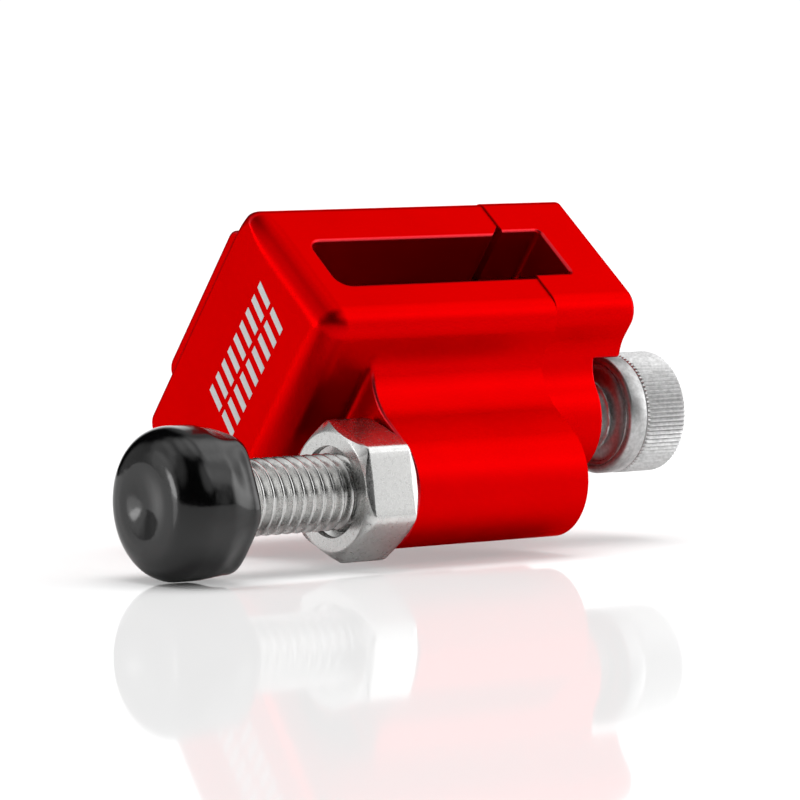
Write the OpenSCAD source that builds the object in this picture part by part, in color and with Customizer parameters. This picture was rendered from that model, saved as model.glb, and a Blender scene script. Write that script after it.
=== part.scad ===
// Adjustable pedal stop: a two-piece clamp that closes round a flat pedal arm, with a capped stop bolt.
// Every shape is drawn in the clamp's own axes and then leaned over into the pose in which it lies on a
// table. In the clamp's axes +X runs along the bolts towards the jaw, +Y points to the back, +Z points up
// the slot, and the origin is on the stop bolt's axis in the plane of the boss's left face.

/* [Clamp block] */
// Height of the block, which is the depth of the slot
block_h = 30; // [28.5:0.1:32]
// Thickness of the rim in front of the slot
front_rim = 5.8; // [5.6:0.1:6.4]
// Thickness of the rim behind the slot
back_rim = 5.7; // [5.6:0.1:6.5]
// Thickness of the wall at the left end of the slot
left_wall = 4.4; // [3.8:0.1:5.5]
// Thickness of the jaw's wall at the right end of the slot
right_wall = 5.9; // [5.7:0.1:7]
// Distance from the boss's left face to the seam between body and jaw
seam_x = 22.4; // [21.5:0.1:24]
// Gap left at the seam
seam_gap = 0.05; // [0.02:0.01:0.2]
// How far the jaw's top stands above the body's
jaw_lift = 0.2; // [0:0.1:0.8]
// How far the jaw's front face and its slot are set back from the body's
jaw_setback = 0.3; // [0:0.1:0.5]
// How much thinner the jaw is at the back
jaw_back_inset = 0.1; // [0:0.1:0.8]
// Lean of the block from upright, top towards the front
lean = 37.7; // [36:0.1:40]

/* [Slot for the pedal arm] */
// Width of the slot, which takes the arm's thickness
slot_w = 7.1; // [6.8:0.1:7.6]
// Length of the slot, which takes the arm's breadth
slot_l = 30.7; // [29:0.1:31]
// Radius of the slot's two corners in the body
slot_corner_r = 1.6; // [0.8:0.1:2.5]
// How far the slot runs into the jaw
jaw_slot = 5; // [4:0.1:6]
// Relief cut across the body's back rim at the seam
relief = 1.3; // [0.6:0.1:1.6]

/* [Edges] */
// Radius of the block's top edges at the front and the left
top_r = 2.6; // [2:0.1:3.2]
// Radius of the upright edge at the front left
left_front_r = 3; // [2:0.1:3.6]
// Radius of the front edge underneath
foot_front_r = 4.5; // [3:0.1:5]
// Radius of the small edges at the back
back_r = 1.2; // [0.6:0.1:1.8]

/* [Back pad] */
// How far the pad stands out of the back
pad_t = 1.9; // [1.5:0.1:2.4]
// Height of the pad
pad_h = 20; // [17:0.5:22]
// Setback of the pad from the left end
pad_setback = 1; // [0.5:0.1:2]
// Radius of the pad's long edges
pad_r = 1.5; // [1:0.1:1.8]

/* [Stop bolt boss] */
// Radius of the boss round the stop bolt
lobe_r = 6.3; // [5.9:0.1:6.8]
// Distance from the stop bolt's axis to the block's front face
axis_out = 8.9; // [8.8:0.1:9.4]
// Radius of the hollow curve between the boss and the front face
boss_fillet_r = 6.4; // [5.8:0.1:7]
// Share of its radius that the hollow curve climbs before it meets the front face
boss_fillet_climb = 0.44; // [0.4:0.02:0.5]
// Radius of the small inner curve underneath the boss
under_fillet_r = 2; // [1:0.1:2.6]

/* [Stop bolt, nut and cap] */
// Thread size of the stop bolt
bolt_d = 8; // [8:8]
// Length of the stop bolt below its head
bolt_l = 35; // [33:1:36]
// How far the head's underside stands from the boss
bolt_out = 20.4; // [18:0.1:22]
// Width across the flats of the bolt head and the nut
hex_af = 13; // [13:13]
// Radius over the bolt head's trimmed corners
head_corner_r = 7.2; // [7.1:0.05:7.3]
// Height of the bolt head
bolt_head_h = 5.3; // [5.3:5.3]
// Thickness of the jam nut
nut_t = 6.5; // [6.5:6.5]
// Outer radius of the cap
cap_r = 8; // [7.9:0.1:8.4]
// Overall length of the cap
cap_l = 9.1; // [8.6:0.1:10]

/* [Clamp screws] */
// Thread size of the front screw
front_d = 8; // [8:8]
// Length of the front screw below its head
front_l = 25; // [25:25]
// Head diameter of the front screw
front_head_d = 12.9; // [12.7:0.1:13]
// How far the front screw is backed off its seat
front_gap = 3.7; // [0.2:0.1:4]
// How far the front clamp screw's axis stands out from the block's front face
screw_out = 0.5; // [0:0.1:0.6]
// Thread size of the rear screw
rear_d = 5; // [5:5]
// Length of the rear screw below its head
rear_l = 25; // [25:25]
// Head diameter of the rear screw
rear_head_d = 8.5; // [8.3:0.1:8.6]
// How far the rear screw is backed off its seat
rear_gap = 0.6; // [0.2:0.1:3]
// Depth of both head seats in the jaw's right end
seat_depth = 3.7; // [3:0.1:4.2]
// Radius of the front head seat
front_seat_r = 7.8; // [7.2:0.1:8]
// Radius of the rear head seat
rear_seat_r = 4.9; // [4.6:0.1:5]
// Radius of the jaw's round ear about the front screw
ear_r = 6.2; // [5.9:0.1:6.4]
// Radius of the hollow curve above the ear
ear_fillet_r = 4.9; // [3:0.1:5.2]

/* [Fits] */
// Running clearance on the radius of every screw
run_gap = 0.05; // [0.02:0.01:0.09]
// Clearance between the bolt head and the inside of the cap
cap_gap = 0.08; // [0.02:0.01:0.1]

/* [Hidden] */
$fn = 96;
cut = 1;                                     // overshoot of a cutting shape past the face it opens
anodised_red = [0.78, 0.0, 0.01];
stainless = [0.72, 0.72, 0.72];
vinyl_black = [0.03, 0.03, 0.03];

// The block, seen along the bolts
front_y = axis_out;
back_y = front_y + front_rim + slot_w + back_rim;
top_z = block_h / 2;
slot_y = front_y + front_rim;
// The block, along the bolts
slot_x1 = seam_x + jaw_slot;
slot_x0 = slot_x1 - slot_l;
left_x = slot_x0 - left_wall;
right_x = slot_x1 + right_wall;
seat_x = right_x - seat_depth;
jaw_x0 = seam_x + seam_gap;

// Screw axes and depths of their holes
clamp_z = 0.7;
clamp_y = front_y - screw_out;
rear_y = slot_y + slot_w + (back_rim + pad_t) / 2;
pad_lift = 0.3;                              // how far the pad's middle stands above the clamp screws
pad_z = clamp_z + pad_lift;
screw_hole_end = 3.4;
front_tip = seat_x + front_gap - front_l;
rear_tip = seat_x + rear_gap - rear_l;
lead_in = 0.6;                               // depth of the chamfer at a thread's mouth
point = 0.8;                                 // length of the chamfer on a screw's point
nut_turn = 42.4;                             // the angle at which the nut was last tightened
head_turn = 29.3;                            // the angle at which the bolt head stands
screw_bevel = 0.09;                          // bevel on a cap screw's head, as a share of its thread size
nut_corner_r = head_corner_r + 0.25;         // the nut's corners are trimmed less than the bolt head's
nut_corner_h = 0.45;                         // height of the cone that trims them

// Where the whole assembly stands: on its lowest point, centred over its footprint
foot_back_r = 1.5;
reach_back = cos(lean) * (back_y - foot_back_r) + sin(lean) * (top_z - foot_back_r) + foot_back_r;
mid_x = (seat_x + front_gap + front_d - bolt_out - cap_l) / 2;
mid_y = (reach_back - cap_r) / 2;

// Puts a shape from the clamp's own axes into the standing pose
module stand() {
    translate([-mid_x, -mid_y, cap_r])
        rotate([lean, 0, 0])
            children();
}

// Turns an outline drawn in Y and Z, or a shape drawn along Z, so that it runs along +X from x
module along_x(x, y = 0, z = 0) {
    translate([x, y, z])
        rotate([90, 0, 90])
            children();
}

// What a round edge of radius r takes away at a corner, where way points into the material
module edge_waste(corner, way, r) {
    centre = corner + r * way;
    difference() {
        translate([min(corner.x - cut * way.x, centre.x), min(corner.y - cut * way.y, centre.y)])
            square(r + cut);
        translate(centre)
            circle(r);
    }
}

// Outline of the block seen along the bolts
module block_outline(lift, front_inset, back_inset) {
    front = front_y + front_inset;
    back = back_y - back_inset;
    difference() {
        translate([front, -top_z])
            square([back - front, block_h + lift]);
        edge_waste([front, top_z + lift], [1, -1], top_r);
        edge_waste([back, top_z + lift], [-1, -1], back_r);
        edge_waste([front, -top_z], [1, 1], foot_front_r);
        edge_waste([back, -top_z], [-1, 1], foot_back_r);
    }
}

// Outline of the pad on the back, which runs into the block
module pad_outline() {
    back = back_y + pad_t;
    difference() {
        translate([back_y - back_rim / 2, pad_z - pad_h / 2])
            square([pad_t + back_rim / 2, pad_h]);
        edge_waste([back, pad_z + pad_h / 2], [-1, -1], pad_r);
        edge_waste([back, pad_z - pad_h / 2], [-1, 1], pad_r);
    }
}

// Outline of the boss round the stop bolt, with the curves that run it into the block
module boss_outline() {
    root = front_y + front_rim / 2;
    climb = boss_fillet_climb * boss_fillet_r;
    curve_y = front_y - sqrt(pow(boss_fillet_r, 2) - pow(boss_fillet_r - climb, 2));
    circle(lobe_r);
    translate([0, -lobe_r])
        square([root, 2 * lobe_r]);
    difference() {
        translate([curve_y, 0])
            square([root - curve_y, lobe_r + climb]);
        translate([curve_y, lobe_r + boss_fillet_r])
            circle(boss_fillet_r);
    }
    difference() {
        translate([front_y - under_fillet_r, -lobe_r - under_fillet_r])
            square([under_fillet_r + front_rim / 2, under_fillet_r + cut]);
        translate([front_y - under_fillet_r, -lobe_r - under_fillet_r])
            circle(under_fillet_r);
    }
}

// Outline of the jaw's ear round the front clamp screw
module ear_outline() {
    hollow_y = screw_out + jaw_setback - ear_fillet_r;
    rise = sqrt(pow(ear_r + ear_fillet_r, 2) - pow(hollow_y, 2));
    root = screw_out + front_rim / 2;
    translate([clamp_y, clamp_z]) {
        circle(ear_r);
        difference() {
            polygon([[0, rise], [hollow_y, rise], [0, 0], [root, 0], [root, rise]]);
            translate([hollow_y, rise])
                circle(ear_fillet_r);
        }
    }
}

// The slot's outline in X and Y, from the left wall to past the seam
module slot_outline() {
    difference() {
        translate([slot_x0, slot_y])
            square([slot_l, slot_w]);
        edge_waste([slot_x0, slot_y], [1, 1], slot_corner_r);
        edge_waste([slot_x0, slot_y + slot_w], [1, -1], slot_corner_r);
    }
}

// Cuts the block's two edges at the left end to their round shape
module left_edge_waste() {
    translate([0, back_y + cut, 0])
        rotate([90, 0, 0])
            linear_extrude(back_y - front_y + 2 * cut)
                edge_waste([left_x, top_z], [1, -1], top_r);
    translate([0, 0, -top_z - cut])
        linear_extrude(block_h + 2 * cut)
            edge_waste([left_x, front_y], [1, 1], left_front_r);
}

// A round hole along X with a chamfered mouth at its right-hand end
module hole_from_right(r, x0, x1, y, z) {
    along_x(x0, y, z)
        cylinder(r = r, h = x1 - x0 + cut);
    along_x(x1 - lead_in, y, z)
        cylinder(r1 = r, r2 = r + lead_in + cut, h = lead_in + cut);
}

module body() {
    color(anodised_red) stand() difference() {
        union() {
            along_x(left_x)
                linear_extrude(seam_x - left_x)
                    block_outline(0, 0, 0);
            along_x(left_x + pad_setback)
                linear_extrude(seam_x - left_x - pad_setback)
                    pad_outline();
            along_x(0)
                linear_extrude(seam_x)
                    boss_outline();
        }
        left_edge_waste();
        translate([0, 0, -top_z - cut])
            linear_extrude(block_h + 2 * cut)
                slot_outline();
        // Relief across the back rim where the jaw meets the slot
        translate([seam_x, slot_y + slot_w, -top_z - cut])
            rotate(45)
                translate([-relief * sqrt(2) / 2, -relief * sqrt(2) / 2, 0])
                    cube([relief * sqrt(2), relief * sqrt(2), block_h + 2 * cut]);
        along_x(-cut)
            cylinder(r = bolt_d / 2 + run_gap, h = seam_x + 2 * cut);
        hole_from_right(front_d / 2 + run_gap, screw_hole_end, seam_x, clamp_y, clamp_z);
        hole_from_right(rear_d / 2 + run_gap, screw_hole_end, seam_x, rear_y, clamp_z);
    }
}

module jaw() {
    color(anodised_red) stand() difference() {
        union() {
            along_x(jaw_x0)
                linear_extrude(right_x - jaw_x0)
                    block_outline(jaw_lift, jaw_setback, jaw_back_inset);
            along_x(jaw_x0)
                linear_extrude(right_x - jaw_x0)
                    pad_outline();
            along_x(jaw_x0)
                linear_extrude(right_x - jaw_x0)
                    ear_outline();
        }
        translate([jaw_x0 - cut, slot_y + jaw_setback, -top_z - cut])
            cube([slot_x1 - jaw_x0 + cut, slot_w, block_h + jaw_lift + 2 * cut]);
        along_x(jaw_x0 - cut, clamp_y, clamp_z)
            cylinder(r = front_d / 2 + run_gap, h = right_x - jaw_x0 + 2 * cut);
        along_x(jaw_x0 - cut, rear_y, clamp_z)
            cylinder(r = rear_d / 2 + run_gap, h = right_x - jaw_x0 + 2 * cut);
        along_x(seat_x, clamp_y, clamp_z)
            cylinder(r = front_seat_r, h = seat_depth + cut);
        along_x(seat_x, rear_y, clamp_z)
            cylinder(r = rear_seat_r, h = seat_depth + cut);
    }
}

// A socket head cap screw along +X with its point at the origin; d is its thread size
module cap_screw(d, l, head_d) {
    bevel = screw_bevel * d;
    difference() {
        union() {
            cylinder(r1 = d / 2 - point / 2, r2 = d / 2, h = point);
            translate([0, 0, point])
                cylinder(r = d / 2, h = l - point + bevel);
            translate([0, 0, l])
                cylinder(r = head_d / 2, h = d - bevel);
            translate([0, 0, l + d - bevel])
                cylinder(r1 = head_d / 2, r2 = head_d / 2 - bevel, h = bevel);
        }
        translate([0, 0, l + d / 2])
            cylinder(d = socket_af(d) / cos(30), h = d / 2 + cut, $fn = 6);
    }
}

// Width across the flats of the socket in a cap screw of size d
function socket_af(d) = d > 6 ? 6 : 4;

module front_clamp_screw() {
    color(stainless) stand()
        along_x(front_tip, clamp_y, clamp_z)
            cap_screw(front_d, front_l, front_head_d);
}

module rear_clamp_screw() {
    color(stainless) stand()
        along_x(rear_tip, rear_y, clamp_z)
            cap_screw(rear_d, rear_l, rear_head_d);
}

module stop_bolt() {
    color(stainless) stand() along_x(-bolt_out) {
        translate([0, 0, -bolt_head_h / 2])
            cylinder(r = bolt_d / 2, h = bolt_l - point + bolt_head_h / 2);
        translate([0, 0, bolt_l - point])
            cylinder(r1 = bolt_d / 2, r2 = bolt_d / 2 - point / 2, h = point);
        intersection() {
            translate([0, 0, -bolt_head_h])
                rotate(head_turn)
                    cylinder(d = hex_af / cos(30), h = bolt_head_h, $fn = 6);
            translate([0, 0, -bolt_head_h])
                cylinder(r = head_corner_r, h = bolt_head_h);
        }
    }
}

// Stands just clear of the boss, and its bore runs on the stop bolt
module jam_nut() {
    flat_r = hex_af / 2;
    color(stainless) stand() along_x(-nut_t - seam_gap) difference() {
        intersection() {
            rotate(nut_turn)
                cylinder(d = hex_af / cos(30), h = nut_t, $fn = 6);
            rotate_extrude()
                polygon([[0, 0], [flat_r, 0], [nut_corner_r, nut_corner_h],
                         [nut_corner_r, nut_t - nut_corner_h], [flat_r, nut_t], [0, nut_t]]);
        }
        translate([0, 0, -cut])
            cylinder(r = bolt_d / 2 + run_gap, h = nut_t + 2 * cut);
        translate([0, 0, -cut])
            cylinder(r1 = bolt_d / 2 + lead_in + cut, r2 = bolt_d / 2, h = lead_in + cut);
        translate([0, 0, nut_t - lead_in])
            cylinder(r1 = bolt_d / 2, r2 = bolt_d / 2 + lead_in + cut, h = lead_in + cut);
    }
}

// A soft cap with a domed end, open at its rim, which the bolt head turns in
module bolt_cap() {
    rim_r = 0.6;
    dome_r = 3.4;
    color(vinyl_black) stand() along_x(-bolt_out) difference() {
        rotate_extrude() difference() {
            translate([0, -cap_l])
                square([cap_r, cap_l]);
            edge_waste([cap_r, -cap_l], [-1, 1], dome_r);
            edge_waste([cap_r, 0], [-1, -1], rim_r);
        }
        translate([0, 0, -bolt_head_h - cap_gap])
            cylinder(r = head_corner_r + cap_gap, h = bolt_head_h + cap_gap + cut);
    }
}

body();
jaw();
front_clamp_screw();
rear_clamp_screw();
stop_bolt();
jam_nut();
bolt_cap();
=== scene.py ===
import math

import bmesh
import bpy
import numpy as np
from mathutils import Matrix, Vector


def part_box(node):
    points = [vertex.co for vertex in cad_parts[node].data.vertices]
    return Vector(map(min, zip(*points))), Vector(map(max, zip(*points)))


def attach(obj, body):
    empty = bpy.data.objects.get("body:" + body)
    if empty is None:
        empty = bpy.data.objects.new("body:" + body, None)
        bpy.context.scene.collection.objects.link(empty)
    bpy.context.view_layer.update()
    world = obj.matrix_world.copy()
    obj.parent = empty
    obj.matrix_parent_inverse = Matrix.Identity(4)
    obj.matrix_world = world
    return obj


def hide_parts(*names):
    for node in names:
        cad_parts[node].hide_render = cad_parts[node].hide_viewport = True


# The looks of an adjustable pedal stop: a two-piece clamp, its screws, and a capped stop bolt with its nut.
# Shapes are worked out in millimetres in the clamp's own axes: +X runs along the bolts towards the jaw,
# +Y points to the back and +Z up the slot, from the stop bolt's axis in the plane of the boss's left face.
# place() then turns them into the row frame, in metres.

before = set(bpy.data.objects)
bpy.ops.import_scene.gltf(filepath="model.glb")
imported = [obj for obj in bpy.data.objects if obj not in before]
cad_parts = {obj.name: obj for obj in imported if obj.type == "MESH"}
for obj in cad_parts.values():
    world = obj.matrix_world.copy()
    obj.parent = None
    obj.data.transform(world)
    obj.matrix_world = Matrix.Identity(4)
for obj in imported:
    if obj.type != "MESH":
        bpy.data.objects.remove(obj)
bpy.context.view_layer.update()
MM = 0.001


# ---------------------------------------------------------------- what the frame says

def middle(node):
    """The middle of a CAD node's box."""
    low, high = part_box(node)
    return (low + high) / 2


bolt_axis = middle("stop_bolt")
front_axis = middle("front_clamp_screw")
rear_axis = middle("rear_clamp_screw")
lean = math.atan2(rear_axis.z - front_axis.z, rear_axis.y - front_axis.y)


def in_clamp(points):
    """Row-frame points in metres as points in the clamp's axes in mm, X still from the row's origin."""
    x, y, z = ((np.asarray(points, float) - [0, bolt_axis.y, bolt_axis.z]) / MM).T
    return np.stack([x, y * math.cos(lean) + z * math.sin(lean), z * math.cos(lean) - y * math.sin(lean)], 1)


def node_points(node):
    """A CAD node's points in the clamp's axes, in mm."""
    return in_clamp([v.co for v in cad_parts[node].data.vertices])


def x_span(node):
    """The lowest and highest X of a CAD node, in mm from the boss's left face."""
    low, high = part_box(node)
    return low.x / MM - boss_x, high.x / MM - boss_x


body_points = node_points("body")
jaw_points = node_points("jaw")
SCREW_OUT = 0.5                # of the front clamp screw's axis from the front face
CLAMP_Y, CLAMP_Z = in_clamp([front_axis])[0, 1:]
FRONT_Y = CLAMP_Y + SCREW_OUT
REAR_Y = in_clamp([rear_axis])[0, 1]
LOBE_R = -body_points[:, 1].min()
boss_x = body_points[body_points[:, 1] < FRONT_Y - LOBE_R / 2, 0].min()
body_points[:, 0] -= boss_x
jaw_points[:, 0] -= boss_x
LEFT_X = body_points[:, 0].min()
SEAM_X = body_points[:, 0].max()
JAW_X0 = jaw_points[:, 0].min()
RIGHT_X = jaw_points[:, 0].max()
TOP_Z = body_points[:, 2].max()
JAW_LIFT = jaw_points[:, 2].max() - TOP_Z
PAD_Y = body_points[:, 1].max()

BOLT_X0, BOLT_X1 = x_span("stop_bolt")
NUT_X0, NUT_X1 = x_span("jam_nut")
CAP_X0, CAP_X1 = x_span("bolt_cap")
FRONT_X0, FRONT_X1 = x_span("front_clamp_screw")
REAR_X0, REAR_X1 = x_span("rear_clamp_screw")

# Sizes that the frame's boxes don't hold, in mm
FRONT_RIM = 5.8                # thickness of the block in front of the slot
BACK_RIM = 5.7                 # and behind it
LEFT_WALL = 4.4                # thickness at the slot's left end
RIGHT_WALL = 5.9
PAD_T = 1.9                    # how far the pad stands out of the back
PAD_H = 20
PAD_LIFT = 0.3                 # of the pad's middle above the clamp screws
PAD_SETBACK = 1                # of the pad from the left end
JAW_BACK_INSET = 0.1
JAW_SETBACK = 0.3              # of the jaw's front face and its slot from the body's
SEAT_DEPTH = 3.7               # of both head seats in the jaw's right end
FRONT_SEAT_R = 7.8
REAR_SEAT_R = 4.9
EAR_R = 6.2                    # of the jaw's ear about the front screw
EAR_HOLLOW_R = 4.9             # of the curve that runs the ear into the front face
EAR_ROOT = 2                   # how far the ear's field runs into the block
BOSS_HOLLOW_R = 6.4            # of the curve above the boss
BOSS_HOLLOW_OUT = 5.3          # of that curve's centre from the front face
UNDER_R = 2                    # of the small curve under the boss
RELIEF = 1.3                   # cut across the back rim at the seam
HOLE_END = 3.4                 # X at which the clamp screws' holes end
TOP_R = 2.6                    # roundings of the block's edges
LEFT_FRONT_R = 3
FOOT_FRONT_R = 4.5
BACK_R = 1.2
FOOT_BACK_R = 1.5
PAD_R = 1.5
EDGE_R = 0.3
SLOT_R = 1.6                   # of the slot's corners in the body
JAW_SLOT_R = 0.5
BOSS_MELT = 1.0                # width over which the boss softens into the block
PAD_MELT = 0.3
SEAM_REACH = 0.8               # how far the fields run past the seam before it is cut
BORE_GAP = 0.05
LEAD_IN = 0.6                  # chamfer at a bore's mouth
M8_R, M8_PITCH = 4, 1.25
M5_R, M5_PITCH = 2.5, 0.8
HEX_FLAT_R = 6.5
HEAD_TURN = math.radians(29.3)
NUT_TURN = math.radians(42.4)

BACK_Y = PAD_Y - PAD_T
SLOT_Y0 = FRONT_Y + FRONT_RIM
SLOT_Y1 = BACK_Y - BACK_RIM
SLOT_X0 = LEFT_X + LEFT_WALL
SLOT_X1 = RIGHT_X - RIGHT_WALL
SEAT_X = RIGHT_X - SEAT_DEPTH
PAD_Z = CLAMP_Z + PAD_LIFT
HOLLOW_Y = FRONT_Y - BOSS_HOLLOW_OUT
HOLLOW_Z = LOBE_R + BOSS_HOLLOW_R


def place(points):
    """Points in the clamp's axes, in mm, as points in the row frame, in metres."""
    x, y, z = np.asarray(points, float).T
    world_y = y * math.cos(lean) - z * math.sin(lean)
    world_z = y * math.sin(lean) + z * math.cos(lean)
    return np.stack([x + boss_x, world_y, world_z], 1) * MM + [0, bolt_axis.y, bolt_axis.z]


def place_directions(directions):
    """Directions in the clamp's axes as directions in the row frame."""
    x, y, z = directions.T
    return np.stack([x, y * math.cos(lean) - z * math.sin(lean), y * math.sin(lean) + z * math.cos(lean)], 1)


# ---------------------------------------------------------------- camera

LENS = 230.5                   # mm, on a 36 mm sensor
CAMERA_DISTANCE = 0.5256       # from the aim point
CAMERA_AZIMUTH = math.radians(37.38)
CAMERA_ELEVATION = math.radians(4.32)
AIM_RIGHT = 1.96 * MM          # from where the stop bolt enters the boss
AIM_UP = 9.06 * MM


def make_camera():
    """The photograph's viewing angle: from the front left, just above the table, through a long lens."""
    camera = bpy.data.objects.new("camera", bpy.data.cameras.new("camera"))
    bpy.context.scene.collection.objects.link(camera)
    right = Vector((math.cos(CAMERA_AZIMUTH), -math.sin(CAMERA_AZIMUTH), 0))
    level = Vector((math.sin(CAMERA_AZIMUTH), math.cos(CAMERA_AZIMUTH), 0))
    forward = level * math.cos(CAMERA_ELEVATION) - Vector((0, 0, math.sin(CAMERA_ELEVATION)))
    up = right.cross(forward)
    entry = Vector((boss_x * MM, bolt_axis.y, bolt_axis.z))
    aim = entry + right * AIM_RIGHT + up * AIM_UP
    camera.location = aim - forward * CAMERA_DISTANCE
    camera.rotation_euler = forward.to_track_quat("-Z", "Y").to_euler()
    camera.data.lens = LENS
    camera.data.sensor_width = 36
    camera.data.clip_start = 0.01
    camera.data.clip_end = 50
    bpy.context.scene.camera = camera


# ---------------------------------------------------------------- rounded solids as distance fields

def meet(a, b, r):
    """Where both solids are, with the edge between them rounded to radius r."""
    return np.minimum(-r, np.maximum(a, b)) + np.hypot(np.maximum(a + r, 0), np.maximum(b + r, 0))


def melt(a, b, k):
    """Both solids together, softened over a width of k wherever they meet."""
    h = np.maximum(k - np.abs(a - b), 0) / k
    return np.minimum(a, b) - h * h * k / 4


def block_section(y, z, front_y, top_z, back_y):
    """The block seen along the bolts."""
    front, back, top, foot = front_y - y, y - back_y, z - top_z, -TOP_Z - z
    upper = np.maximum(meet(front, top, TOP_R), meet(back, top, BACK_R))
    lower = np.maximum(meet(front, foot, FOOT_FRONT_R), meet(back, foot, FOOT_BACK_R))
    return np.maximum(upper, lower)


def left_edge_radius(y, z):
    """Radius of the left end's edge: large at the front and the top, small behind and underneath."""
    lowest, highest = -40, 8                     # keep the weights within range far from the block
    pulls = [(FRONT_Y - y, LEFT_FRONT_R), (z - TOP_Z, TOP_R), (y - BACK_Y, EDGE_R), (-TOP_Z - z, EDGE_R)]
    weights = [np.exp(np.clip(distance, lowest, highest)) for distance, radius in pulls]
    return sum(w * radius for w, (distance, radius) in zip(weights, pulls)) / sum(weights)


def pad_section(y, z):
    """The pad on the back, seen along the bolts."""
    upper = meet(y - PAD_Y, z - PAD_Z - PAD_H / 2, PAD_R)
    lower = meet(y - PAD_Y, PAD_Z - PAD_H / 2 - z, PAD_R)
    return np.maximum(np.maximum(upper, lower), BACK_Y - BACK_RIM / 2 - y)


def boss_section(y, z):
    """The boss round the stop bolt, with the hollow curve above it and the small one underneath."""
    lobe = np.hypot(np.minimum(y, 0), z) - LOBE_R
    hollow = BOSS_HOLLOW_R - np.hypot(y - HOLLOW_Y, z - HOLLOW_Z)
    upper = np.maximum(np.maximum(hollow, HOLLOW_Y - y), np.maximum(z - HOLLOW_Z, -z))
    under_y, under_z = FRONT_Y - UNDER_R, -LOBE_R - UNDER_R
    under = UNDER_R - np.hypot(y - under_y, z - under_z)
    lower = np.maximum(np.maximum(under, under_y - y), np.maximum(under_z - z, z))
    return np.maximum(np.minimum(np.minimum(lobe, upper), lower), y - FRONT_Y - FRONT_RIM / 2)


def ear_section(y, z):
    """The jaw's ear round the front clamp screw, with the hollow curve that runs it into the front face."""
    ear = np.hypot(y - CLAMP_Y, z - CLAMP_Z) - EAR_R
    across = FRONT_Y + JAW_SETBACK - EAR_HOLLOW_R - CLAMP_Y
    rise = math.sqrt((EAR_R + EAR_HOLLOW_R) ** 2 - across ** 2)
    y, z = y - CLAMP_Y, z - CLAMP_Z
    hollow = EAR_HOLLOW_R - np.hypot(y - across, z - rise)
    # the line between the two centres, where the curves touch
    touch = (across * z - rise * y) / (EAR_R + EAR_HOLLOW_R)
    limits = np.maximum(np.maximum(z - rise, -z), y - SCREW_OUT - EAR_ROOT)
    web = np.maximum(np.maximum(hollow, touch), limits)
    return np.minimum(ear, web)


def slot_plan(x, y):
    """The body's slot seen from above, with round corners at its left end."""
    return meet(SLOT_X0 - x, np.maximum(SLOT_Y0 - y, y - SLOT_Y1), SLOT_R)


def bore(y, z, at_y, at_z, r):
    """A round hole along X."""
    return np.hypot(y - at_y, z - at_z) - r


def mouth(x, hole, at_x, way):
    """A hole's chamfered mouth at the plane at_x; way is +1 if the hole runs to lower X from there."""
    return hole - np.clip(LEAD_IN - way * (at_x - x), 0, LEAD_IN)


def body_distance(p):
    """Distance to the clamp body's surface, below 0 inside."""
    x, y, z = p[..., 0], p[..., 1], p[..., 2]
    block = meet(block_section(y, z, FRONT_Y, TOP_Z, BACK_Y), LEFT_X - x, left_edge_radius(y, z))
    pad = meet(pad_section(y, z), LEFT_X + PAD_SETBACK - x, EDGE_R)
    boss = meet(boss_section(y, z), -x, EDGE_R)
    solid = melt(melt(block, boss, BOSS_MELT), pad, PAD_MELT)
    solid = np.maximum(solid, x - SEAM_X - SEAM_REACH)
    solid = meet(solid, -slot_plan(x, y), EDGE_R)
    relief = (np.abs(x - SEAM_X) + np.abs(y - SLOT_Y1) - RELIEF) / math.sqrt(2)
    solid = np.maximum(solid, -relief)
    bolt_hole = bore(y, z, 0, 0, M8_R + BORE_GAP)
    bolt_hole = np.minimum(mouth(x, bolt_hole, 0, -1), mouth(x, bolt_hole, SEAM_X, 1))
    solid = np.maximum(solid, -bolt_hole)
    for at_y, r in ((CLAMP_Y, M8_R), (REAR_Y, M5_R)):
        hole = np.maximum(mouth(x, bore(y, z, at_y, CLAMP_Z, r + BORE_GAP), SEAM_X, 1), HOLE_END - x)
        solid = np.maximum(solid, -hole)
    return solid


def jaw_distance(p):
    """Distance to the jaw's surface, below 0 inside."""
    x, y, z = p[..., 0], p[..., 1], p[..., 2]
    block = block_section(y, z, FRONT_Y + JAW_SETBACK, TOP_Z + JAW_LIFT, BACK_Y - JAW_BACK_INSET)
    solid = melt(np.minimum(block, ear_section(y, z)), pad_section(y, z), PAD_MELT)
    solid = np.maximum(solid, JAW_X0 - SEAM_REACH - x)
    solid = meet(solid, x - RIGHT_X, 2 * EDGE_R)
    across = np.maximum(SLOT_Y0 + JAW_SETBACK - y, y - SLOT_Y1 - JAW_SETBACK)
    slot = meet(x - SLOT_X1, across, JAW_SLOT_R)
    solid = meet(solid, -slot, EDGE_R)
    for at_y, r, seat_r in ((CLAMP_Y, M8_R, FRONT_SEAT_R), (REAR_Y, M5_R, REAR_SEAT_R)):
        solid = np.maximum(solid, -bore(y, z, at_y, CLAMP_Z, r + BORE_GAP))
        seat = np.maximum(bore(y, z, at_y, CLAMP_Z, seat_r), SEAT_X - x)
        solid = meet(solid, -seat, EDGE_R)
    return solid


def gradient(distance, points, h=0.02):
    """The field's slope at each point, over steps of h."""
    steps = np.eye(3) * h
    return np.stack([distance(points + s) - distance(points - s) for s in steps], 1) / (2 * h)


def onto_surface(distance, points):
    """Moves points onto the surface where the distance is 0, in a few steps of limited length."""
    steps, longest, least_slope = 4, 0.2, 0.05
    for _ in range(steps):
        slope = gradient(distance, points)
        size = np.maximum((slope ** 2).sum(1), least_slope)
        points = points - np.clip(distance(points) / size, -longest, longest)[:, None] * slope
    return points


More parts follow.
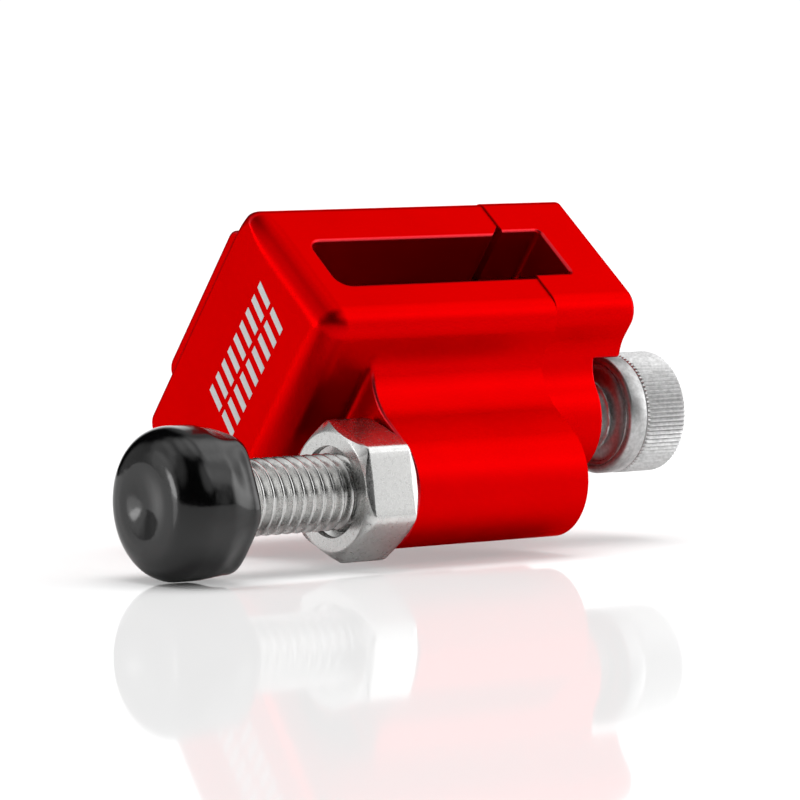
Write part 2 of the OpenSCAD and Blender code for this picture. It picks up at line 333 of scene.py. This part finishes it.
def surface_net(distance, low, high, step):
    """Points and quads of the closed surface where the distance is 0, on a grid of that step."""
    counts = [int(math.ceil((high[i] - low[i]) / step)) + 1 for i in range(3)]
    axes = [low[i] + step * np.arange(counts[i]) for i in range(3)]
    grid = np.stack(np.meshgrid(*axes, indexing="ij"), -1)
    field = distance(grid)
    inside = field < 0
    corners = [(i, j, k) for i in (0, 1) for j in (0, 1) for k in (0, 1)]
    cells = tuple(n - 1 for n in counts)

    def shifted(values, corner):
        return values[tuple(slice(c, c + n) for c, n in zip(corner, cells))]

    filled = sum(shifted(inside, c).astype(np.int8) for c in corners)
    mixed = (filled > 0) & (filled < 8)
    index = np.full(cells, -1, np.int64)
    index[mixed] = np.arange(mixed.sum())
    values = np.stack([shifted(field, c)[mixed] for c in corners], 1)
    base = np.stack(np.nonzero(mixed), 1)
    total = np.zeros((len(base), 3))
    hits = np.zeros(len(base))
    for a in range(8):
        for b in range(a + 1, 8):
            if sum(abs(m - n) for m, n in zip(corners[a], corners[b])) != 1:
                continue
            crossing = (values[:, a] < 0) != (values[:, b] < 0)
            t = np.where(crossing, values[:, a] / np.where(crossing, values[:, a] - values[:, b], 1), 0)
            start, way = np.array(corners[a], float), np.array(corners[b], float) - corners[a]
            total += np.where(crossing[:, None], start + t[:, None] * way, 0)
            hits += crossing
    points = np.array(low) + step * (base + total / hits[:, None])
    faces = []
    for axis in range(3):
        u, v = (axis + 1) % 3, (axis + 2) % 3
        here = [slice(1, -1)] * 3
        there = [slice(1, -1)] * 3
        here[axis], there[axis] = slice(0, -1), slice(1, None)
        a, b = inside[tuple(here)], inside[tuple(there)]
        cross = np.stack(np.nonzero(a != b), 1)
        leaving = a[tuple(cross.T)]
        cross[:, u] += 1
        cross[:, v] += 1
        quad = []
        for du, dv in ((1, 1), (0, 1), (0, 0), (1, 0)):
            cell = cross.copy()
            cell[:, u] -= du
            cell[:, v] -= dv
            quad.append(index[tuple(cell.T)])
        quad = np.stack(quad, 1)
        faces.append(np.where(leaving[:, None], quad, quad[:, ::-1]))
    return points, np.concatenate(faces)


# ---------------------------------------------------------------- turned, threaded and hexagonal shapes

def around(count):
    return np.arange(count) * 2 * math.pi / count


def ring(x, radii, angles, at_y=0.0, at_z=0.0):
    """A ring of points about an axis along X. x and radii may be numbers or one value for each angle."""
    radii = np.broadcast_to(radii, angles.shape)
    xs = np.broadcast_to(x, angles.shape)
    return np.stack([xs, at_y + radii * np.cos(angles), at_z + radii * np.sin(angles)], 1)


def skin(rings, looped=False):
    """A closed mesh through rings of one size. Open ends are closed onto a middle point."""
    count = len(rings[0])
    points = list(np.concatenate(rings))
    faces = []
    steps = len(rings) if looped else len(rings) - 1
    for i in range(steps):
        a, b = i * count, ((i + 1) % len(rings)) * count
        for j in range(count):
            k = (j + 1) % count
            faces.append((a + j, a + k, b + k, b + j))
    if not looped:
        for first, flip in ((0, True), ((len(rings) - 1) * count, False)):
            hub = len(points)
            points.append(np.mean(points[first:first + count], 0))
            for j in range(count):
                k = (j + 1) % count
                faces.append((first + k, first + j, hub) if flip else (first + j, first + k, hub))
    return np.array(points), faces


def thread_depth(x, angles, pitch):
    """How far a rolled right-hand thread lies below its crest at each angle."""
    flat, flank, full, straight = 0.06, 0.36, 0.61, 0.45     # crest, flank and depth as shares of the pitch
    from_crest = np.abs((x / pitch - angles / (2 * math.pi)) % 1 - 0.5) * pitch
    t = np.clip((from_crest - flat * pitch) / (flank * pitch), 0, 1)
    rounded = t * t * (3 - 2 * t)
    return full * pitch * (straight * t + (1 - straight) * rounded)


def threaded_rings(x0, x1, r, pitch, angles, at_y=0.0, at_z=0.0, point=0.8, samples=16):
    """Rings of a thread from x0, its chamfered point, to x1, its end under a head."""
    rings = []
    crest = r - 0.03
    count = int(round(abs(x1 - x0) / pitch * samples))
    for x in np.linspace(x0, x1, count + 1):
        radius = crest - thread_depth(x, angles, pitch)
        cone = r - point + abs(x - x0)
        rings.append(ring(x, np.minimum(radius, cone), angles, at_y, at_z))
    return rings


def hex_outline(flat_r, corner_r, turn, per_side=11, per_corner=5):
    """Angles and radii of a hexagon with one corner at the angle turn and its corners rounded to corner_r."""
    across = (flat_r - corner_r) / math.cos(math.pi / 6)
    corners = []
    for side in range(6):
        middle_way = turn + side * math.pi / 3
        hub = np.array([math.cos(middle_way), math.sin(middle_way)]) * across
        ways = middle_way + np.linspace(-math.pi / 6, math.pi / 6, per_corner)
        corners.append(hub + corner_r * np.stack([np.cos(ways), np.sin(ways)], 1))
    points = []
    for side in range(6):
        start, end = corners[side][-1], corners[(side + 1) % 6][0]
        steps = np.arange(1, per_side)[:, None] / per_side
        points += [corners[side], start + (end - start) * steps]
    points = np.concatenate(points)
    return np.arctan2(points[:, 1], points[:, 0]), np.hypot(points[:, 0], points[:, 1])


# ---------------------------------------------------------------- materials

def new_material(name):
    material = bpy.data.materials.new(name)
    material.use_nodes = True
    nodes, links = material.node_tree.nodes, material.node_tree.links
    return material, nodes, links, nodes["Principled BSDF"]


def add(nodes, kind, **values):
    """A node with its named inputs, or its properties where it has no such input, set."""
    node = nodes.new(kind)
    for key, value in values.items():
        if key in node.inputs:
            node.inputs[key].default_value = value
        else:
            setattr(node, key, value)
    return node


def grain(nodes, links, scale, detail=4.0):
    """Noise in the piece's own coordinates, in metres; scale is features to the millimetre."""
    coordinates = nodes.new("ShaderNodeTexCoord")
    mapping = nodes.new("ShaderNodeMapping")
    mapping.inputs["Scale"].default_value = [1 / MM] * 3
    noise = add(nodes, "ShaderNodeTexNoise", Scale=scale, Detail=detail, Roughness=0.6)
    links.new(coordinates.outputs["Object"], mapping.inputs["Vector"])
    links.new(mapping.outputs["Vector"], noise.inputs["Vector"])
    return noise.outputs["Fac"]


def remap(nodes, links, source, low, high, to_low, to_high, curve="LINEAR"):
    node = add(nodes, "ShaderNodeMapRange", interpolation_type=curve)
    for name, value in (("From Min", low), ("From Max", high), ("To Min", to_low), ("To Max", to_high)):
        node.inputs[name].default_value = value
    links.new(source, node.inputs["Value"])
    return node.outputs["Result"]


def mixed_colour(nodes, links, factor, first, second):
    node = nodes.new("ShaderNodeMix")
    node.data_type = "RGBA"
    node.inputs["A"].default_value = (*first, 1)
    node.inputs["B"].default_value = (*second, 1)
    links.new(factor, node.inputs["Factor"])
    return node.outputs["Result"]


def bump(nodes, links, principled, heights, strength, distance):
    node = add(nodes, "ShaderNodeBump", Strength=strength, Distance=distance)
    links.new(heights, node.inputs["Height"])
    links.new(node.outputs["Normal"], principled.inputs["Normal"])


def anodised_red():
    """Satin red anodising: a fine blasted grain, faint cloudiness, and paler edges, partly where it rubs off
    and partly a painted highlight along the rounded edges.
    """
    material, nodes, links, surface = new_material("anodised_red")
    surface.inputs["Metallic"].default_value = 1
    surface.inputs["Specular Tint"].default_value = (1, 0.04, 0.04, 1)
    cloud = grain(nodes, links, 0.12, 3)
    fine = grain(nodes, links, 7, 3)
    edge = add(nodes, "ShaderNodeAttribute", attribute_name="edge")
    shade = mixed_colour(nodes, links, cloud, (0.58, 0.0, 0.001), (0.66, 0.0, 0.001))
    # paler pinkish red along sharp edges: partly rubbed-off anodising, partly a painted highlight on the
    # rounded edges
    paler = nodes.new("ShaderNodeMix")
    paler.data_type = "RGBA"
    paler.inputs["B"].default_value = (0.75, 0.06, 0.08, 1)
    rubbed_and_lit_edge = remap(nodes, links, edge.outputs["Fac"], 0.35, 1, 0, 0.5)
    links.new(rubbed_and_lit_edge, paler.inputs["Factor"])
    links.new(shade, paler.inputs["A"])
    links.new(paler.outputs["Result"], surface.inputs["Base Color"])
    links.new(remap(nodes, links, fine, 0.3, 0.7, 0.34, 0.42), surface.inputs["Roughness"])
    bump(nodes, links, surface, fine, 0.1, 0.00004)
    return material


def steel(name, tone, rough, grain_size, mottling):
    """Stainless steel: a mottled surface with fine pits and rubbed spots."""
    material, nodes, links, surface = new_material(name)
    surface.inputs["Metallic"].default_value = 1
    patches = grain(nodes, links, grain_size, 5)
    fine = grain(nodes, links, 6 * grain_size, 3)
    light, dark = tone, tuple(t * (1 - mottling) for t in tone)
    colour = mixed_colour(nodes, links, remap(nodes, links, patches, 0.35, 0.65, 0, 1), dark, light)
    links.new(colour, surface.inputs["Base Color"])
    links.new(remap(nodes, links, patches, 0.3, 0.7, rough + 0.1, rough), surface.inputs["Roughness"])
    bump(nodes, links, surface, fine, 0.12, 0.00003)
    return material


def black_vinyl():
    """Soft dipped vinyl: glossy black, gently uneven, with a faint dull bloom."""
    material, nodes, links, surface = new_material("black_vinyl")
    surface.inputs["IOR"].default_value = 1.5
    cloud = grain(nodes, links, 0.35, 2)
    fine = grain(nodes, links, 4, 3)
    colour = mixed_colour(nodes, links, cloud, (0.0012, 0.0012, 0.0013), (0.0028, 0.0028, 0.003))
    links.new(colour, surface.inputs["Base Color"])
    links.new(remap(nodes, links, fine, 0.3, 0.7, 0.1, 0.15), surface.inputs["Roughness"])
    bump(nodes, links, surface, cloud, 0.2, 0.0002)
    return material


def white_marking():
    """Chalky white marking with a slightly broken surface."""
    material, nodes, links, surface = new_material("white_marking")
    fine = grain(nodes, links, 5, 4)
    colour = mixed_colour(nodes, links, fine, (0.6, 0.62, 0.62), (0.78, 0.8, 0.8))
    links.new(colour, surface.inputs["Base Color"])
    links.new(remap(nodes, links, fine, 0.3, 0.7, 0.45, 0.6), surface.inputs["Roughness"])
    bump(nodes, links, surface, fine, 0.15, 0.00003)
    return material


def table_top():
    """The pale floor: smooth and matt from above, with a soft reflection at a low angle."""
    material, nodes, links, surface = new_material("table_top")
    nodes.remove(surface)
    matt = add(nodes, "ShaderNodeBsdfDiffuse", Color=(0.9, 0.9, 0.9, 1))
    gloss = add(nodes, "ShaderNodeBsdfAnisotropic", Color=(1, 1, 1, 1), Roughness=0.05)
    facing = nodes.new("ShaderNodeLayerWeight")
    share = remap(nodes, links, facing.outputs["Facing"], 0.3, 1, 0.02, 0.27)
    both = nodes.new("ShaderNodeMixShader")
    links.new(share, both.inputs[0])
    links.new(matt.outputs[0], both.inputs[1])
    links.new(gloss.outputs[0], both.inputs[2])
    links.new(both.outputs[0], nodes["Material Output"].inputs["Surface"])
    return material


# ---------------------------------------------------------------- pieces

def make_piece(name, points, faces, material, body, node=None, smooth_angle=None):
    """A piece from points in the clamp's axes. It rides on a body and may stand for a CAD node."""
    mesh = bpy.data.meshes.new(name)
    mesh.from_pydata(place(points).tolist(), [], [tuple(int(i) for i in f) for f in faces])
    mesh.validate()
    mesh.polygons.foreach_set("use_smooth", [True] * len(mesh.polygons))
    if smooth_angle:
        mesh.set_sharp_from_angle(angle=math.radians(smooth_angle))
    mesh.materials.append(material)
    piece = bpy.data.objects.new(name, mesh)
    bpy.context.scene.collection.objects.link(piece)
    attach(piece, body)
    if node:
        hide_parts(node)
    return piece


def thin_out(points, faces, share):
    """The same surface with fewer triangles, where it is flat."""
    mesh = bpy.data.meshes.new("thinning")
    mesh.from_pydata(points.tolist(), [], faces.tolist())
    helper = bpy.data.objects.new("thinning", mesh)
    bpy.context.scene.collection.objects.link(helper)
    helper.modifiers.new("thin", "DECIMATE").ratio = share
    thinned = helper.evaluated_get(bpy.context.evaluated_depsgraph_get()).to_mesh()
    co = np.array([v.co for v in thinned.vertices])
    tris = [tuple(p.vertices) for p in thinned.polygons]
    helper.to_mesh_clear()
    bpy.data.objects.remove(helper)
    bpy.data.meshes.remove(mesh)
    return co, tris


def cut_flat(points, faces, plane_x, way):
    """Cuts a mesh off at a plane across X and closes it; way is the side that goes.

    Returns the points, the faces, and how many of the faces come before the closing ones.
    """
    mesh = bmesh.new()
    made = [mesh.verts.new(p) for p in points]
    for face in faces:
        mesh.faces.new([made[i] for i in face])
    everything = mesh.verts[:] + mesh.edges[:] + mesh.faces[:]
    cut = bmesh.ops.bisect_plane(mesh, geom=everything, dist=1e-5, plane_co=(plane_x, 0, 0),
                                 plane_no=(way, 0, 0), clear_outer=True)
    rim = [e for e in cut["geom_cut"] if isinstance(e, bmesh.types.BMEdge)]
    bmesh.ops.triangulate(mesh, faces=mesh.faces[:])
    sides = len(mesh.faces)
    filled = bmesh.ops.triangle_fill(mesh, use_beauty=True, use_dissolve=False, edges=rim)
    lids = [f for f in filled["geom"] if isinstance(f, bmesh.types.BMFace)]
    mesh.normal_update()
    for lid in lids:
        if lid.normal.x * way < 0:
            lid.normal_flip()
    mesh.verts.index_update()
    mesh.faces.index_update()
    points = np.array([v.co for v in mesh.verts])
    faces = [tuple(v.index for v in f.verts) for f in mesh.faces]
    mesh.free()
    return points, faces, sides


NET_STEP, QUICK_NET_STEP = 0.2, 0.4
NET_MARGIN = 1.37                # steps left free round the solid
KEPT_SHARE = 0.35                # of the triangles, after thinning


def make_rounded(name, distance, low, high, cut_x, way, material, body, node):
    """A machined piece from its distance field, cut off at the seam, with true normals and edge sharpness."""
    step = NET_STEP
    margin = NET_MARGIN * step
    points, faces = surface_net(distance, np.array(low) - margin, np.array(high) + margin, step)
    points = onto_surface(distance, points)
    points, faces = thin_out(points, faces, KEPT_SHARE)
    points = onto_surface(distance, points)
    points, faces, sides = cut_flat(points, faces, cut_x, way)
    piece = make_piece(name, points, faces, material, body, node)
    normals = gradient(distance, points)
    normals /= np.maximum(np.linalg.norm(normals, axis=1), 1e-6)[:, None]
    corners = np.array(faces)
    each = normals[corners]
    each[sides:] = (way, 0, 0)
    piece.data.normals_split_custom_set(place_directions(each.reshape(-1, 3)).tolist())
    reach = 0.12                                 # mm from a point at which the bend of the surface is felt
    spread = sum(distance(points + s) + distance(points - s) for s in np.eye(3) * reach)
    sharpness = np.clip((spread - 6 * distance(points)) / reach ** 2 * EDGE_R, 0, 1)
    # this edge sharpness pales the red along edges: partly wear, partly a painted highlight
    edge = piece.data.attributes.new("edge", "FLOAT", "POINT")
    edge.data.foreach_set("value", sharpness.astype(np.float32))


def make_body(material):
    low = (LEFT_X, -LOBE_R, -TOP_Z)
    high = (SEAM_X + SEAM_REACH, PAD_Y, TOP_Z)
    make_rounded("machined_body", body_distance, low, high, SEAM_X, 1,
                 material, "clamp_body", "body")


def make_jaw(material):
    low = (JAW_X0 - SEAM_REACH, CLAMP_Y - EAR_R, -TOP_Z)
    high = (RIGHT_X, PAD_Y, TOP_Z + JAW_LIFT)
    make_rounded("machined_jaw", jaw_distance, low, high, JAW_X0, -1,
                 material, "jaw_body", "jaw")


def make_end_mark(material):
    """Two rows of plain slanted bars on the left face."""
    points, faces = [], []
    thickness, sink = 0.03, 0.05
    width, pitch, slant, length, count = 0.85, 1.75, 0.7, 2.7, 9
    for row_y, first_z in ((18.4, -5.2), (15.1, -5.9)):
        for i in range(count):
            z = first_z + i * pitch
            far_y, far_z = row_y + length, z + slant
            outline = [(row_y, z), (row_y, z + width), (far_y, far_z + width), (far_y, far_z)]
            base = len(points)
            for x in (LEFT_X + sink, LEFT_X - thickness):
                points += [(x, y, z) for y, z in outline]
            faces += [(base + 4, base + 5, base + 6, base + 7), (base + 3, base + 2, base + 1, base)]
            for j in range(4):
                k = (j + 1) % 4
                faces.append((base + j, base + k, base + 4 + k, base + 4 + j))
    make_piece("end_mark", np.array(points), faces, material, "clamp_body", smooth_angle=20)


def make_stop_bolt(material):
    """The stop bolt: a hexagon head inside the cap, and a rolled thread along the whole shank."""
    corner_rounding, trimmed_r, end_r = 0.6, 7.2, 6.2
    end_chamfer, under_bevel = 0.45, 0.1
    angles, radii = hex_outline(HEX_FLAT_R, corner_rounding, HEAD_TURN, 7, 5)
    trimmed = np.minimum(radii, trimmed_r)
    rings = [ring(BOLT_X0, np.minimum(trimmed, end_r), angles), ring(BOLT_X0 + end_chamfer, trimmed, angles),
             ring(CAP_X1 - under_bevel, trimmed, angles), ring(CAP_X1, trimmed - under_bevel, angles)]
    rings += threaded_rings(BOLT_X1, CAP_X1, M8_R, M8_PITCH, angles)[::-1]
    points, faces = skin(rings)
    make_piece("threaded_stop_bolt", points, faces, material, "bolt", "stop_bolt", 50)


def make_nut(material):
    """The jam nut: chamfered corners, bevelled flats, recessed mouths and a threaded bore."""
    corner_rounding, trimmed_r, face_r = 1.0, 7.4, 6.25
    slope, bevel = math.tan(math.radians(30)), 0.1
    angles, radii = hex_outline(HEX_FLAT_R, corner_rounding, NUT_TURN)
    radii = np.minimum(radii, trimmed_r)
    # the bevel between the chamfer and each flat is widest at the flat's middle
    wide = 0.5 * (1 - (radii - HEX_FLAT_R) / (radii.max() - HEX_FLAT_R)) ** 1.5
    bevel_r = radii - bevel - 0.25 * wide
    bevel_depth = np.maximum(0.4 * bevel, (bevel_r - face_r) * slope)
    depth = (radii - face_r) * slope
    outer = []
    for face_x, way in ((NUT_X0, 1), (NUT_X1, -1)):
        outer.append([
            ring(face_x, face_r - 2 * bevel, angles),
            ring(face_x, face_r - bevel, angles),
            ring(face_x + way * 0.3 * bevel, face_r, angles),
            ring(face_x + way * bevel_depth, bevel_r, angles),
            ring(face_x + way * (depth + 0.25 * bevel + 0.8 * wide), radii - 0.25 * bevel, angles),
            ring(face_x + way * (depth + bevel + wide), radii, angles),
            ring(face_x + way * (depth + 2 * bevel + wide), radii, angles)])
    rings = outer[0] + [ring((NUT_X0 + NUT_X1) / 2, radii, angles)] + outer[1][::-1]

    recess_r, recess_wall, recess_depth = M8_R + 0.75, 0.8, 1.4
    thread_h, steps = 0.54 * M8_PITCH, 80
    minor = M8_R - thread_h
    for x in np.linspace(NUT_X1, NUT_X0, steps + 1):
        from_face = min(x - NUT_X0, NUT_X1 - x)
        lip = recess_r - max(0, from_face - recess_wall) * (recess_r - minor) / (recess_depth - recess_wall)
        thread = minor + np.minimum(thread_h, thread_depth(x, angles, M8_PITCH))
        rings.append(ring(x, np.maximum(np.minimum(thread, M8_R + BORE_GAP), lip), angles))
    points, faces = skin(rings, looped=True)
    make_piece("chamfered_jam_nut", points, faces, material, "nut", "jam_nut", 24)


def make_cap_screw(name, material, body, node, span, at_y, thread, head, ridges, socket_af):
    """A socket head cap screw: threaded shank, knurled head with a plain band under it, and a hex socket.

    span is the X of its point and of its end, thread its radius and pitch, and head its radius, height and
    the width of the plain band.
    """
    x_tip, x_end = span
    r, pitch = thread
    head_r, head_h, plain = head
    per_ridge = 6                                # points of the head's rings to each ridge and shank point
    thin = around(ridges)
    fine = around(per_ridge * ridges)
    head_x = x_end - head_h
    rings = threaded_rings(x_tip, head_x - 0.35, r, pitch, thin, at_y, CLAMP_Z, 0.2 * r, 14)
    rings.append(ring(head_x - 0.15, r - 0.02, thin, at_y, CLAMP_Z))
    rings.append(ring(head_x, r + 0.25, thin, at_y, CLAMP_Z))
    points, faces = skin(rings)
    last = (len(rings) - 1) * ridges
    faces = [f for f in faces if len(points) - 1 not in f]
    points = list(points[:-1])

    ridge_depth, bevel, groove = 0.042 * head_r, 0.035 * head_r, 0.02 * head_r
    crest = head_r - ridge_depth * 0.5 * (1 - np.cos(fine * ridges)) ** 0.8
    socket_turn = math.radians(12)
    socket = socket_af / 2 / np.cos((fine - socket_turn + math.pi / 6) % (math.pi / 3) - math.pi / 6)
    band_end, knurl_end = head_x + plain, x_end - 0.075 * head_r

    def under(share):
        """A radius on the head's underside, as a share of the way from the shank to the rim."""
        return r + share * (head_r - r)

    underside = [
        (head_x + 0.25, under(0.3)), (head_x + 0.25, under(0.42)), (head_x + 0.05, under(0.47)),
        (head_x + 0.05, under(0.6)), (head_x + 0.15, under(0.63)), (head_x, under(0.68)),
        (head_x, head_r - 2.2 * bevel), (head_x + 0.4 * bevel, head_r - 0.9 * bevel)]
    plain_band = [
        (head_x + 1.4 * bevel, head_r - 0.3 * groove), (band_end - 3 * groove, head_r - 0.3 * groove),
        (band_end - 1.6 * groove, head_r - 0.5 * groove), (band_end - groove, head_r - 2.6 * groove),
        (band_end, head_r - 2.6 * groove), (band_end + 0.8 * groove, head_r - 1.4 * groove)]
    knurl = [
        (band_end + 2 * groove, crest), (band_end + 4 * groove, crest), (knurl_end - bevel, crest),
        (knurl_end, np.minimum(crest, head_r - 0.35 * bevel))]
    end_face = [
        (x_end - 0.6 * bevel, head_r - 2.4 * bevel), (x_end - 0.15 * bevel, head_r - 3.4 * bevel),
        (x_end, head_r - 4.4 * bevel), (x_end, socket * 1.1 + 2 * bevel),
        (x_end, socket * 1.06 + 0.6 * bevel)]
    hexagon_socket = [
        (x_end - 0.5 * bevel, socket * 1.04), (x_end - 2.2 * bevel, socket), (x_end - 0.48 * head_h, socket),
        (x_end - 0.5 * head_h, socket * 0.97), (x_end - 0.58 * head_h, socket * 0.4),
        (x_end - 0.6 * head_h, socket * 0.1)]
    profile = underside + plain_band + knurl + end_face + hexagon_socket
    start = len(points)
    for x, radii in profile:
        points += list(ring(x, radii, fine, at_y, CLAMP_Z))
    many = len(fine)
    for i in range(ridges):
        n = (i + 1) % ridges
        for j in range(per_ridge):
            a, b = start + (per_ridge * i + j) % many, start + (per_ridge * i + j + 1) % many
            faces.append((last + i, b, a))
        faces.append((last + i, last + n, start + (per_ridge * (i + 1)) % many))
    for p in range(len(profile) - 1):
        a, b = start + p * many, start + (p + 1) * many
        for j in range(many):
            k = (j + 1) % many
            faces.append((a + j, a + k, b + k, b + j))
    hub = len(points)
    points.append((x_end - 0.61 * head_h, at_y, CLAMP_Z))
    end = start + (len(profile) - 1) * many
    faces += [(end + j, end + (j + 1) % many, hub) for j in range(many)]
    make_piece(name, np.array(points), faces, material, body, node, 40)


def make_cap(material):
    """The vinyl cap: drawn over the hexagon head at its rim, full and round towards its dimpled end."""
    angles = around(180)
    length = CAP_X1 - CAP_X0
    round_r, flat_r, corner_r, softening = 7.82, 7.2, 7.68, 0.6
    sag = 0.1 * np.cos(angles + math.pi / 2 + lean)      # straight down, where the soft vinyl is thickest
    off_corner = (angles - HEAD_TURN + math.pi / 6) % (math.pi / 3) - math.pi / 6
    side = flat_r / np.cos(math.pi / 6 - np.abs(off_corner))
    hexagon = melt(side, np.full_like(side, corner_r), softening) + sag
    body_r = round_r + sag

    inner_r, inner_depth = 7.28, 5.3
    inner_x = CAP_X1 - inner_depth
    rings = [ring(inner_x - 0.06, inner_r * 0.05, angles), ring(inner_x - 0.06, inner_r * 0.9, angles),
             ring(inner_x + 0.2, np.minimum(inner_r, hexagon - 0.3), angles),
             ring(CAP_X1 - 0.3, np.minimum(inner_r, hexagon - 0.25), angles)]

    lip, lip_depth = 0.45, 1.0
    for turn in np.linspace(0.15, 1, 9) * math.pi / 2:
        x = CAP_X1 - lip_depth * (1 - math.cos(turn))
        rings.append(ring(x, hexagon - lip + lip * math.sin(turn), angles))

    round_from, dome_r = 3.6, 3.3                # where the cap is fully round, and its end's rounding
    dome_turn = math.radians(82)                 # where that rounding gives way to the gently domed end
    dome_from = length - 0.02 - dome_r
    for depth in np.linspace(lip_depth, dome_from, 18)[1:]:
        t = min(1, (depth - lip_depth) / (round_from - lip_depth))
        rings.append(ring(CAP_X1 - depth, hexagon + (body_r - hexagon) * t * t * (3 - 2 * t), angles))
    for turn in np.linspace(0, dome_turn, 24)[1:]:
        x = CAP_X1 - dome_from - dome_r * math.sin(turn)
        rings.append(ring(x, body_r - dome_r * (1 - math.cos(turn)), angles))

    crown_x = CAP_X1 - dome_from - dome_r * math.sin(dome_turn)
    crown_r = round_r - dome_r * (1 - math.cos(dome_turn))
    ball_r = crown_r / math.cos(dome_turn)
    dimple, dimple_r = 0.85, 4.5
    for share in np.linspace(1, 0.01, 30)[1:]:
        r = crown_r * share
        rise = math.sqrt(ball_r ** 2 - r ** 2) - ball_r * math.sin(dome_turn)
        sink = dimple * (0.5 + 0.5 * math.cos(math.pi * min(1, r / dimple_r)))
        rings.append(ring(crown_x - rise + sink, r * body_r / round_r, angles))
    points, faces = skin(rings)
    make_piece("vinyl_cap", points, [f[::-1] for f in faces], material, "cap", "bolt_cap")


# ---------------------------------------------------------------- floor and light

def make_floor():
    mesh = bpy.data.meshes.new("floor")
    size, depth = 6.0, -0.00002
    mesh.from_pydata([(-size, -size, depth), (size, -size, depth), (size, size, depth), (-size, size, depth)],
                     [], [(0, 1, 2, 3)])
    mesh.materials.append(table_top())
    floor = bpy.data.objects.new("floor", mesh)
    bpy.context.scene.collection.objects.link(floor)


# Soft lights round the room: azimuth from +X towards +Y and elevation in degrees, and glow
PANELS = [
    (30, 8, 0.4), (52, 8, 1.4), (120, 8, 0.3), (150, 8, 1.0), (330, 8, 3.0),
    (0, 38, 1.2), (36, 38, 0.3), (144, 38, 0.8), (180, 38, 0.5), (288, 38, 0.8), (324, 38, 1.3),
    (0, 66, 0.8), (144, 66, 0.6), (0, 90, 0.9),
]
PANEL_FULL = 6                   # degrees from a panel's middle where it is still full
PANEL_END = 27                   # and where it ends
STRIP = (153, 3, 5.0)            # one small bright light, for the highlight on the cap
STRIP_FULL, STRIP_END = 6, 12
FILL_SUN = 1.55                  # W/m2 from straight above, not seen in mirrors
FILL_SUN_ANGLE = math.radians(50)
BACKDROP = 1.05                  # the white that the camera sees behind the object


def studio_world():
    """A dark room with soft bright panels, in front of a plain white backdrop."""
    world = bpy.data.worlds.new("studio")
    world.use_nodes = True
    bpy.context.scene.world = world
    nodes, links = world.node_tree.nodes, world.node_tree.links
    direction = nodes.new("ShaderNodeTexCoord").outputs["Generated"]
    total = None
    lights = [panel + (PANEL_FULL, PANEL_END) for panel in PANELS]
    lights.append(STRIP + (STRIP_FULL, STRIP_END))
    for azimuth, elevation, glow, full, end in lights:
        turn, rise = math.radians(azimuth), math.radians(elevation)
        towards = (math.cos(turn) * math.cos(rise), math.sin(turn) * math.cos(rise), math.sin(rise))
        facing = add(nodes, "ShaderNodeVectorMath", operation="DOT_PRODUCT")
        facing.inputs[1].default_value = towards
        links.new(direction, facing.inputs[0])
        edge, core = math.cos(math.radians(end)), math.cos(math.radians(full))
        spot = remap(nodes, links, facing.outputs["Value"], edge, core, 0, glow, "SMOOTHSTEP")
        if total is None:
            total = spot
        else:
            both = add(nodes, "ShaderNodeMath", operation="ADD")
            links.new(total, both.inputs[0])
            links.new(spot, both.inputs[1])
            total = both.outputs["Value"]
    strength = nodes.new("ShaderNodeMix")
    links.new(nodes.new("ShaderNodeLightPath").outputs["Is Camera Ray"], strength.inputs["Factor"])
    links.new(total, strength.inputs["A"])
    strength.inputs["B"].default_value = BACKDROP
    links.new(strength.outputs["Result"], nodes["Background"].inputs["Strength"])
    nodes["Background"].inputs["Color"].default_value = (1, 1, 1, 1)


def light_studio():
    studio_world()
    lamp = bpy.data.lights.new("fill", "SUN")
    lamp.energy = FILL_SUN
    lamp.angle = FILL_SUN_ANGLE
    fill = bpy.data.objects.new("fill", lamp)
    fill.visible_glossy = False
    bpy.context.scene.collection.objects.link(fill)
    bpy.context.scene.view_settings.view_transform = "Standard"


def main():
    make_camera()
    red = anodised_red()
    bright = steel("bright_steel", (0.68, 0.68, 0.67), 0.2, 2.4, 0.14)
    matt = steel("matt_steel", (0.58, 0.58, 0.58), 0.34, 2.2, 0.26)
    make_body(red)
    make_jaw(red)
    make_end_mark(white_marking())
    make_stop_bolt(bright)
    make_nut(bright)
    make_cap_screw("knurled_front_screw", matt, "front_screw", "front_clamp_screw", (FRONT_X0, FRONT_X1),
                   CLAMP_Y, (M8_R, M8_PITCH), head=(6.45, 8.0, 2.4), ridges=83, socket_af=6)
    make_cap_screw("knurled_rear_screw", matt, "rear_screw", "rear_clamp_screw", (REAR_X0, REAR_X1),
                   REAR_Y, (M5_R, M5_PITCH), head=(4.25, 5.0, 1.3), ridges=60, socket_af=4)
    make_cap(black_vinyl())
    make_floor()
    light_studio()


main()
